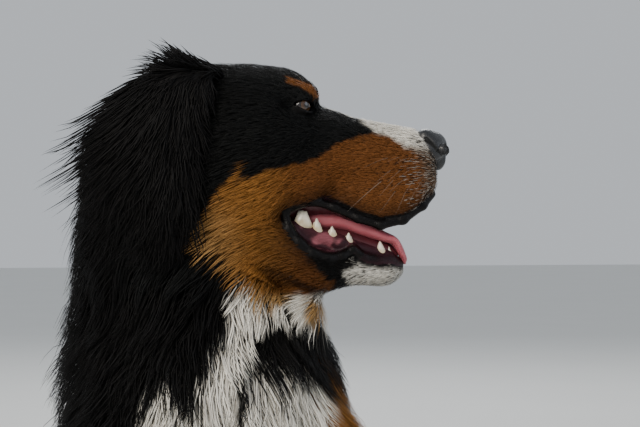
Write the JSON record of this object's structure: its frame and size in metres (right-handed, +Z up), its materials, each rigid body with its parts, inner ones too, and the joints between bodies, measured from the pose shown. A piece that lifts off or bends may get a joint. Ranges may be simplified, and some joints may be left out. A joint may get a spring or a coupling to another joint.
{
  "type": "bernese mountain dog",
  "caption": "Life-size still model of a long-coated Bernese mountain dog lying upright, forelegs out, head turned to its left, mouth open.",
  "frame": {"origin": "middle of the bounding box's base, on the floor", "axes": "-Y is the way the dog's chest and forelegs point, +X its left side, +Z up"},
  "size_m": [0.5496, 1.1982, 0.6208],
  "materials": {
    "coat_black": "long, slightly wavy black hair with a soft sheen",
    "coat_tan": "rich rust-brown hair",
    "coat_white": "short to medium white hair",
    "nose_pad": "pebbled, slightly moist black skin",
    "tongue": "moist pink",
    "eye": "glossy dark brown"
  },
  "bodies": {
    "root": {"torso": "coat_black", "neck": "coat_black", "head": "coat_black", "lower_jaw": "coat_tan", "nose": "nose_pad", "tongue": "tongue", "eye_left": "eye", "eye_right": "eye", "ear_left": "coat_black", "ear_right": "coat_black", "foreleg_left": "coat_tan", "foreleg_right": "coat_tan", "forepaw_left": "coat_white", "forepaw_right": "coat_white", "hind_leg_left": "coat_black", "hind_leg_right": "coat_black", "hind_paw_left": "coat_white", "hind_paw_right": "coat_white", "tail": "coat_black"}
  },
  "joints": []
}
